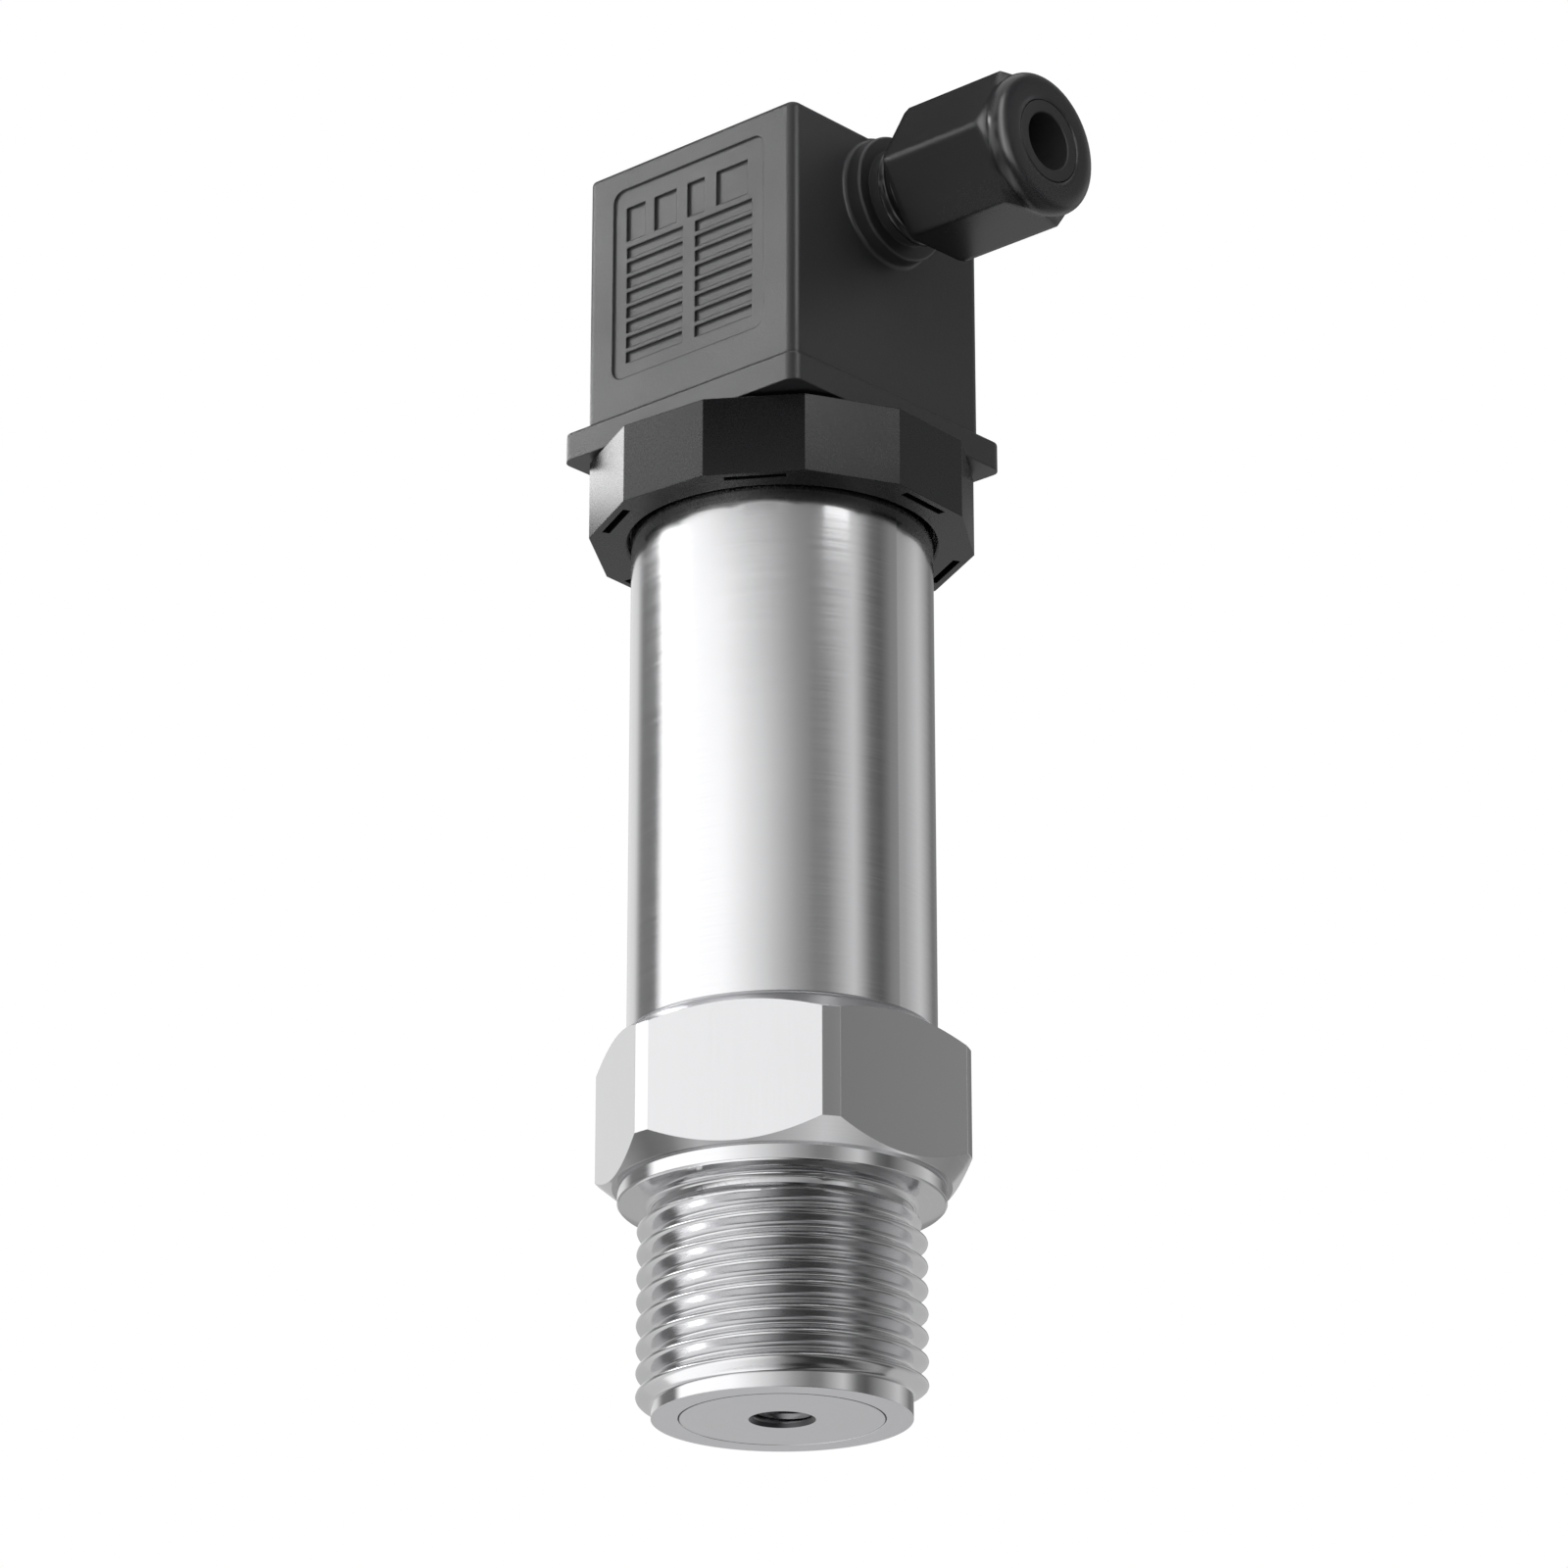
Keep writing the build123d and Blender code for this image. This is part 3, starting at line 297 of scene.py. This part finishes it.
dress(materials["brushed_tube"], "housing_tube")
dress(materials["disc_steel_painted_shade"], "port_disc")
dress(materials["plated_steel"], "sensor_cell", "retaining_ring", "contact_blades")
dress(materials["plated_steel"], "terminal_screws", "fixing_screw")
dress(materials["brass"], "sensor_pins", "threaded_insert", "socket_contacts")
dress(materials["housing_black"], "plug_housing", "connector_base")
dress(materials["nut_black"], "union_nut")
dress(materials["gland_black"], "gland_nut")
dress(materials["seal_rubber"], "sensor_seal", "base_seal", "flat_gasket", "gland_seal", "screw_seal")
dress(materials["carrier_grey"], "board_holder", "terminal_insert", "gland_washer")
dress(materials["board_green"], "circuit_board")
dress(materials["component_black"], "board_components")
dress(materials["lead_red"], "sensor_leads", "output_leads")


# Threads

def smooth_step(low, high, value):
    """Rises from 0 to 1 between two values, level at both."""
    share = min(1.0, max(0.0, (value - low) / (high - low)))
    return share * share * (3 - 2 * share)


def thread_rise(travel, pitch, root_share, crest_share, rounding=0.05):
    """Rise of a rounded thread at a travel from a crest, 0 at its root and 1 at its crest."""
    shifts = (-2, -1, 0, 1, 2)
    total = 0.0
    for shift in shifts:
        part = 1 - 2 * abs((travel / pitch + shift * rounding / 2 + 0.5) % 1 - 0.5)
        total += min(1.0, max(0.0, (part - root_share) / (1 - root_share - crest_share)))
    return total / len(shifts)


def join(bm, *corners):
    """A face between points, or none where they fall together."""
    distinct = list(dict.fromkeys(corners))
    if len(distinct) > 2:
        bm.faces.new(distinct)


def join_rings(bm, first, second):
    """Quads between two rings of as many points."""
    for k in range(len(first)):
        bm.faces.new((first[k - 1], first[k], second[k], second[k - 1]))


def ring(bm, columns, place_at, radius, height):
    """Points round an axis; place_at gives the place of a radius, a share of a turn and a height."""
    return [bm.verts.new(place_at(radius, k / columns, height)) for k in range(columns)]


def helix_skin(bm, columns, steps, pitch, first, low, high, place_at, radius_at):
    """A threaded skin between two heights, its rows along the helix. Returns its end rings."""
    def point(share, height):
        return bm.verts.new(place_at(radius_at(share, height), share, height))

    bottom = [point(k / columns, low) for k in range(columns)]
    top = [point(k / columns, high) for k in range(columns)]
    lowest = math.floor((low - first) / pitch) - 1
    rows = (math.ceil((high - first) / pitch) + 1 - lowest) * steps
    grid = []
    for k in range(columns):
        share = k / columns
        stack = []
        for row in range(rows + 1):
            height = first + pitch * (lowest + row / steps + share)
            if height <= low:
                stack.append(bottom[k])
            elif height >= high:
                stack.append(top[k])
            else:
                stack.append(point(share, height))
        grid.append(stack)
    grid.append(grid[0][steps:])
    for here, following in zip(grid, grid[1:]):
        for row in range(len(following) - 1):
            join(bm, here[row], following[row], following[row + 1], here[row + 1])
    return bottom, top


def bridge(bm, first, second):
    """Triangles between two rings round the Z axis with different numbers of points."""
    loops = []
    for points in (first, second):
        ordered = sorted(points, key=lambda v: math.atan2(v.co.y, v.co.x))
        angles = [math.atan2(v.co.y, v.co.x) for v in ordered]
        loops.append((ordered + ordered[:1], angles + [angles[0] + 2 * math.pi]))
    (points_a, angles_a), (points_b, angles_b) = loops
    a, b = 0, 0
    while a < len(first) or b < len(second):
        if b == len(second) or (a < len(first) and angles_a[a + 1] <= angles_b[b + 1]):
            bm.faces.new((points_a[a], points_a[a + 1], points_b[b]))
            a += 1
        else:
            bm.faces.new((points_a[a], points_b[b + 1], points_b[b]))
            b += 1


def crease(bm, degrees):
    """Marks as sharp the edges where the surface turns by more than an angle."""
    for edge in bm.edges:
        if edge.is_manifold and edge.calc_face_angle() > math.radians(degrees):
            edge.smooth = False


def finish_mesh(bm, name, body, slot, *skins, sharp=40):
    """Makes a piece of a bmesh, smooth but for its sharp edges, and rides it on its body."""
    bmesh.ops.recalc_face_normals(bm, faces=bm.faces)
    crease(bm, sharp)
    for face in bm.faces:
        face.smooth = True
    mesh = bpy.data.meshes.new(name)
    bm.to_mesh(mesh)
    bm.free()
    for skin in skins:
        mesh.materials.append(skin)
    piece = bpy.data.objects.new(name, mesh)
    bpy.context.scene.collection.objects.link(piece)
    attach(piece, body)
    return piece


def upright(radius, share, height):
    """A place round the tube axis."""
    angle = 2 * math.pi * share
    return Vector((radius * math.cos(angle), radius * math.sin(angle), height))


def process_fitting():
    """The steel fitting: the CAD's collar and hexagon over a thread with rounded crests."""
    columns = 260
    steps = 20
    crest = mounts["process_thread"]["dims"]["r_mm"] * MM
    pilot_depth = 1.27 * MM
    pilot = crest - pilot_depth
    pitch = 2.0 * MM
    root_share = 0.17
    crest_share = 0.125
    first_crest = 0.54 * MM
    fade_low = 0.9 * MM
    fade_high = 1.7 * MM
    runout_start = 16.05 * MM
    relief_start = 16.95 * MM
    relief_radius = 10.75 * MM
    fillet_start = 17.4 * MM
    hex_bottom = 19.45 * MM
    hex_chamfer = 28.0 * MM
    tolerance = 0.002 * MM
    seam = 0.09 * MM
    crease_degrees = 18
    upright_tilt = 0.01

    def radius_at(share, height):
        travel = height - first_crest - pitch * share
        crest_height = height - pitch * ((travel / pitch + 0.5) % 1 - 0.5)
        rise = thread_rise(travel, pitch, root_share, crest_share)
        rise *= smooth_step(fade_low, fade_high, crest_height)
        runout = min(1.0, max(0.0, (relief_start - height) / (relief_start - runout_start)))
        return min(pilot + (crest - pilot) * rise, relief_radius + runout * (crest - relief_radius))

    bm = bmesh.new()
    cad = nodes["process_fitting"].data
    points = [bm.verts.new(v.co) for v in cad.vertices]
    for polygon in cad.polygons:
        bm.faces.new([points[k] for k in polygon.vertices])
    bmesh.ops.remove_doubles(bm, verts=bm.verts, dist=tolerance / 10)
    crease(bm, crease_degrees)

    def outward(vertex):
        return math.hypot(vertex.co.x, vertex.co.y)

    def heights(face):
        return [v.co.z for v in face.verts]

    def is_plain_thread(face):
        reach = max(outward(v) for v in face.verts)
        return max(heights(face)) < fillet_start + tolerance and reach > pilot - tolerance

    bmesh.ops.delete(bm, geom=[face for face in bm.faces if is_plain_thread(face)], context="FACES")
    rim = {v for edge in bm.edges if edge.is_boundary for v in edge.verts}
    lower_rim = [v for v in rim if v.co.z < tolerance]
    upper_rim = [v for v in rim if v.co.z > tolerance]
    bottom, top = helix_skin(bm, columns, steps, pitch, first_crest, 0, relief_start, upright, radius_at)
    bridge(bm, lower_rim, bottom)
    bridge(bm, upper_rim, top)
    seat = [e for e in bm.edges if max(v.co.z for v in e.verts) < tolerance and not e.smooth]
    bmesh.ops.bevel(bm, geom=seat, offset=seam, segments=1, affect="EDGES")
    bm.normal_update()
    for face in bm.faces:
        if max(heights(face)) < tolerance:
            face.material_index = 1
        elif min(heights(face)) > hex_bottom and abs(face.normal.z) < upright_tilt:
            face.material_index = 2
        elif min(heights(face)) > hex_chamfer:
            face.material_index = 1
    fitting = finish_mesh(
        bm, "threaded_fitting", "transmitter", "turned_steel",
        materials["machined_steel"], materials["face_steel"], materials["flat_steel"],
    )
    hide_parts("process_fitting")
    return fitting


def threaded_sleeve(
    name, body, slot, material, columns, steps, pitch, first, ends, place_at, radius_at, plain
):
    """A closed sleeve between a plain skin and a threaded one, from one of its ends to the other."""
    low, high = ends
    bm = bmesh.new()
    bottom, top = helix_skin(bm, columns, steps, pitch, first, low, high, place_at, radius_at)
    plain_bottom = ring(bm, columns, place_at, plain, low)
    plain_top = ring(bm, columns, place_at, plain, high)
    join_rings(bm, plain_bottom, plain_top)
    join_rings(bm, bottom, plain_bottom)
    join_rings(bm, top, plain_top)
    return finish_mesh(bm, name, body, slot, material)


def port_thread():
    """Thread turns inside the small pressure port."""
    port = mounts["pressure_port"]["dims"]
    columns = 96
    steps = 12
    gap = 0.01 * MM
    wall = port["r_mm"] * MM - gap
    start = 0.3 * MM
    end = port["length_mm"] * MM
    depth = 0.36 * MM
    pitch = 0.8 * MM
    root_share = 0.12
    crest_share = 0.2

    def radius_at(share, height):
        lead = smooth_step(start, start + pitch, height)
        travel = height - pitch * share
        return wall - gap - depth * lead * thread_rise(travel, pitch, root_share, crest_share)

    return threaded_sleeve(
        "port_thread", "transmitter", "turned_steel", materials["bore_steel_painted_shade"], columns, steps, pitch, 0.0,
        (start, end), upright, radius_at, wall,
    )


def neck_thread():
    """Thread turns on the neck between the plug's boss and the gland nut."""
    axis = mounts["cable_entry"]["pos_m"]
    nut_back = min(v.co.x for v in nodes["gland_nut"].data.vertices)
    columns = 120
    steps = 14
    root = 4.33 * MM
    thickness = 0.08 * MM
    depth = 0.4 * MM
    pitch = 1.5 * MM
    root_share = 0.1
    crest_share = 0.2
    rounding = 0.12
    lead_in = 0.3 * MM
    visible = 2.7 * MM
    covered = 0.15 * MM
    low = nut_back - visible
    high = nut_back + covered

    def place_at(radius, share, height):
        angle = 2 * math.pi * share
        return Vector((height, axis[1] + radius * math.cos(angle), axis[2] + radius * math.sin(angle)))

    def radius_at(share, height):
        lead = smooth_step(low, low + lead_in, height)
        travel = height - low - pitch * (share + 0.5)
        return root + depth * lead * thread_rise(travel, pitch, root_share, crest_share, rounding)

    return threaded_sleeve(
        "neck_thread", "plug", "gland_plastic", materials["neck_black"], columns, steps, pitch, low,
        (low, high), place_at, radius_at, root - thickness,
    )


process_fitting()
port_thread()
neck_thread()


# Stage

PHOTO_WIDTH = 1600
SENSOR_WIDTH = 36.0
focal_pixels = 5924.4
camera_place = Vector((0.308936, -0.342262, -0.117362))
camera_target = Vector((0.000108, 0.000097, 0.055295))
camera_turn = math.degrees(math.atan2(camera_place.y, camera_place.x))


def studio_camera():
    """The camera of the photo, fitted to points measured in it."""
    data = bpy.data.cameras.new("camera")
    data.sensor_width = SENSOR_WIDTH
    data.lens = SENSOR_WIDTH * focal_pixels / PHOTO_WIDTH
    data.clip_start = 0.01
    data.clip_end = 20
    camera = bpy.data.objects.new("camera", data)
    camera.location = camera_place
    camera.rotation_mode = "QUATERNION"
    camera.rotation_quaternion = (camera_target - camera_place).to_track_quat("-Z", "Y")
    bpy.context.scene.collection.objects.link(camera)
    bpy.context.scene.camera = camera


def glow_material(name, one_sided=False):
    """Light of the strength that the mesh carries at each point, from its front alone if so asked."""
    material = bpy.data.materials.new(name)
    material.use_nodes = True
    tree = material.node_tree
    tree.nodes.remove(tree.nodes["Principled BSDF"])
    lamp = tree.nodes.new("ShaderNodeEmission")
    strength = tree.nodes.new("ShaderNodeAttribute")
    strength.attribute_name = "glow"
    tree.links.new(strength.outputs["Fac"], lamp.inputs["Strength"])
    light = lamp.outputs[0]
    if one_sided:
        mix = tree.nodes.new("ShaderNodeMixShader")
        tree.links.new(tree.nodes.new("ShaderNodeNewGeometry").outputs["Backfacing"], mix.inputs[0])
        tree.links.new(light, mix.inputs[1])
        tree.links.new(tree.nodes.new("ShaderNodeBsdfTransparent").outputs[0], mix.inputs[2])
        light = mix.outputs[0]
    tree.links.new(light, tree.nodes["Material Output"].inputs["Surface"])
    return material


def glow_sheet(name, material, columns):
    """A screen through pairs of points, each pair with its glow. The camera doesn't see it."""
    bm = bmesh.new()
    layer = bm.verts.layers.float.new("glow")
    pairs = []
    for first, second, strength in columns:
        pair = (bm.verts.new(first), bm.verts.new(second))
        for vertex in pair:
            vertex[layer] = strength
        pairs.append(pair)
    for (a, b), (c, d) in zip(pairs, pairs[1:]):
        bm.faces.new((a, c, d, b))
    mesh = bpy.data.meshes.new(name)
    bm.to_mesh(mesh)
    bm.free()
    mesh.materials.append(material)
    sheet = bpy.data.objects.new(name, mesh)
    bpy.context.scene.collection.objects.link(sheet)
    sheet.visible_camera = False


def about_axis(turn, radius, height):
    """A place at an angle to the right of the camera."""
    angle = math.radians(camera_turn + turn)
    return Vector((radius * math.cos(angle), radius * math.sin(angle), height))


def strength_at(knots, turn):
    """The glow at an angle, between its two knots."""
    for (turn_a, glow_a), (turn_b, glow_b) in zip(knots, knots[1:]):
        if turn_a <= turn <= turn_b:
            return glow_a + (glow_b - glow_a) * (turn - turn_a) / (turn_b - turn_a)
    return 0.0


def turns_of(knots):
    """Angles some three degrees apart, from the first knot to the last."""
    spacing = 3
    first, last = knots[0][0], knots[-1][0]
    steps = math.ceil((last - first) / spacing)
    return [first + (last - first) * k / steps for k in range(steps + 1)]


def light_wall(name, material, radius, low, high, knots):
    """A round screen about the object. A knot is an angle to the right of the camera and a glow."""
    glow_sheet(name, material, [
        (about_axis(turn, radius, low), about_axis(turn, radius, high), strength_at(knots, turn))
        for turn in turns_of(knots)
    ])


def light_ring(name, material, inner, outer, height, knots):
    """A level ring about the object, with knots as a wall's."""
    glow_sheet(name, material, [
        (about_axis(turn, outer, height), about_axis(turn, inner, height), strength_at(knots, turn))
        for turn in turns_of(knots)
    ])


def light_table(name, material, half, height, knots):
    """A level screen below. A knot is a distance to the right of the camera's axis and a glow."""
    ahead = about_axis(0, half, 0)
    right = about_axis(90, 1, 0)
    middle = Vector((0, 0, height))
    glow_sheet(name, material, [
        (middle + right * aside - ahead, middle + right * aside + ahead, strength)
        for aside, strength in knots
    ])


def studio_world():
    """White behind the object and in its reflections, and a softer level as light."""
    white = (1, 1, 1, 1)
    light_level = 0.6
    world = bpy.data.worlds.new("studio")
    world.use_nodes = True
    tree = world.node_tree
    seen = tree.nodes["Background"]
    seen.inputs["Color"].default_value = white
    seen.inputs["Strength"].default_value = 1.0
    light = tree.nodes.new("ShaderNodeBackground")
    light.inputs["Color"].default_value = white
    light.inputs["Strength"].default_value = light_level
    path = tree.nodes.new("ShaderNodeLightPath").outputs
    rays = math_node(tree, "MAXIMUM", path["Is Camera Ray"], path["Is Glossy Ray"])
    rays = math_node(tree, "MAXIMUM", rays, path["Is Transmission Ray"])
    mix = tree.nodes.new("ShaderNodeMixShader")
    tree.links.new(rays, mix.inputs[0])
    tree.links.new(light.outputs[0], mix.inputs[1])
    tree.links.new(seen.outputs[0], mix.inputs[2])
    tree.links.new(mix.outputs[0], tree.nodes["World Output"].inputs["Surface"])
    bpy.context.scene.world = world


def studio_floor():
    """A pale floor under the object. It shows from above only, since the photo looks up from below it."""
    half = 3.0
    height = -0.5 * MM
    pale = (0.86, 0.86, 0.86)
    mesh = bpy.data.meshes.new("floor")
    corners = [(x * half, y * half, height) for x, y in ((-1, -1), (1, -1), (1, 1), (-1, 1))]
    mesh.from_pydata(corners, [], [(0, 1, 2, 3)])
    floor = bpy.data.objects.new("floor", mesh)
    bpy.context.scene.collection.objects.link(floor)
    material = bpy.data.materials.new("floor")
    material.use_nodes = True
    tree = material.node_tree
    surface = tree.nodes["Principled BSDF"]
    surface.inputs["Base Color"].default_value = (*pale, 1)
    surface.inputs["Roughness"].default_value = 0.9
    clear = tree.nodes.new("ShaderNodeBsdfTransparent")
    from_below = tree.nodes.new("ShaderNodeNewGeometry").outputs["Backfacing"]
    above = math_node(tree, "SUBTRACT", 1.0, from_below)
    camera_ray = tree.nodes.new("ShaderNodeLightPath").outputs["Is Camera Ray"]
    mix = tree.nodes.new("ShaderNodeMixShader")
    tree.links.new(math_node(tree, "MULTIPLY", above, camera_ray), mix.inputs[0])
    tree.links.new(clear.outputs[0], mix.inputs[1])
    tree.links.new(surface.outputs[0], mix.inputs[2])
    tree.links.new(mix.outputs[0], tree.nodes["Material Output"].inputs["Surface"])
    mesh.materials.append(material)


# Glow of the screens and the chamfer's card, chosen to bring tones near the photo's

top_knots = (
    (-180, 0.06), (-150, 0.06), (-110, 0.2), (-80, 0.5), (-60, 1.2), (-38, 1.2), (-22, 0.7), (-8, 0.35),
    (3, 0.12), (25, 0.06), (42, 0.08), (60, 0.35), (75, 0.12), (90, 0.2), (140, 0.3), (180, 0.06),
)
head_knots = (
    (-180, 0.04), (-165, 0.1), (-150, 0.3), (-125, 0.6), (-114, 4.0), (-106, 12.5), (-88, 12.5), (-78, 2.0),
    (-60, 1.0), (-45, 0.2), (-30, 0.02), (5, 0.02), (22, 0.3), (35, 0.8), (55, 0.8), (70, 0.3), (95, 0.25),
    (120, 0.6), (150, 0.15), (165, 0.04), (180, 0.04),
)
rim_knots = (
    (-180, 0.04), (-165, 0.1), (-150, 0.3), (-125, 0.3), (-112, 1.0), (-98, 4.0), (-88, 3.0), (-77, 0.8),
    (-60, 0.7), (-45, 0.2), (-30, 0.02), (5, 0.02), (22, 0.25), (35, 0.8), (55, 0.8), (72, 0.2), (95, 0.25),
    (120, 0.3), (150, 0.12), (165, 0.04), (180, 0.04),
)
tube_knots = (
    (-180, 0.3), (-165, 0.9), (-142, 0.9), (-130, 0.25), (-107, 0.2), (-100, 1.6), (-44, 1.5), (-13, 0.95),
    (10, 0.48), (24, 0.28), (33, 0.3), (54, 0.82), (68, 0.2), (78, 0.12), (90, 0.31), (122, 0.78),
    (134, 0.5), (148, 0.2), (180, 0.3),
)
foot_knots = (
    (-180, 0.5), (-146, 0.68), (-128, 0.68), (-113, 0.2), (-99, 0.2), (-91, 1.2), (-70, 1.3), (-42, 1.2),
    (-25, 0.75), (-12, 0.35), (0, 0.1), (25, 0.06), (42, 0.08), (55, 0.3), (62, 0.35), (75, 0.12),
    (93, 0.18), (110, 0.3), (130, 0.6), (143, 0.7), (180, 0.5),
)
low_knots = (
    (-180, 0.5), (-146, 0.68), (-112, 0.4), (-90, 0.2), (-65, 0.3), (-40, 0.7), (-15, 0.2), (0, 0.12),
    (25, 0.08), (60, 0.25), (93, 0.2), (120, 0.4), (143, 0.65), (180, 0.5),
)
under_knots = (
    (-180, 0.62), (-150, 0.7), (-120, 0.9), (-60, 0.6), (-20, 0.2), (0, 0.1), (60, 0.15), (100, 0.3),
    (150, 0.6), (180, 0.62),
)
table_knots = (
    (-0.55, 0.7), (-0.36, 0.8), (-0.27, 1.5), (-0.15, 1.4), (-0.09, 1.2), (-0.03, 0.8), (0.03, 0.2),
    (0.08, 0.04), (0.17, 0.04), (0.22, 0.3), (0.26, 0.45), (0.31, 0.08), (0.38, 0.12), (0.55, 0.4),
)
chamfer_knots = (
    (-180, 0.4), (-80, 0.4), (-58, 0.2), (-46, 0.25), (-33, 0.62), (-12, 0.45), (4, 0.6), (16, 0.8),
    (26, 0.62), (38, 0.45), (52, 0.8), (64, 0.35), (90, 0.3), (180, 0.4),
)


def near_cards(glow):
    """Small cards, each for one place on the object. The list gives radius, low and high in mm."""
    front_glow = glow_material("front_glow", one_sided=True)
    inner, outer, level = 14.2 * MM, 24 * MM, 17.2 * MM
    light_ring("chamfer_card", front_glow, inner, outer, level, chamfer_knots)
    cards = (
        ("nut_card", 58, 100, 113, ((-136, 5.2), (-110, 5.2))),
        ("nut_flag", 66, 98.5, 116, ((-26, 0.0), (-4, 0.0))),
        ("nut_fill", 65, 98.5, 113, ((29, 3.2), (47, 3.2))),
        ("nose_card", 46, 97, 130, ((18, 0.0), (25, 4.2), (33, 4.2), (40, 0.0))),
    )
    for name, radius, low, high, knots in cards:
        light_wall(name, glow, radius * MM, low * MM, high * MM, knots)


def far_screens(glow):
    """The table under the object, and round screens stacked from its height up."""
    radius = 0.55
    heights = (-0.45, -0.23, -0.06, 0.1, 0.317, 0.335, 0.42, 1.1)
    walls = (
        ("under_wall", under_knots), ("low_wall", low_knots), ("foot_wall", foot_knots),
        ("tube_wall", tube_knots), ("rim_wall", rim_knots), ("head_wall", head_knots),
        ("top_wall", top_knots),
    )
    light_table("under_table", glow, radius, heights[0], table_knots)
    for (name, knots), low, high in zip(walls, heights, heights[1:]):
        light_wall(name, glow, radius, low, high, knots)


glow = glow_material("glow")
near_cards(glow)
far_screens(glow)
studio_world()
studio_camera()
studio_floor()
bpy.context.scene.view_settings.view_transform = "Standard"
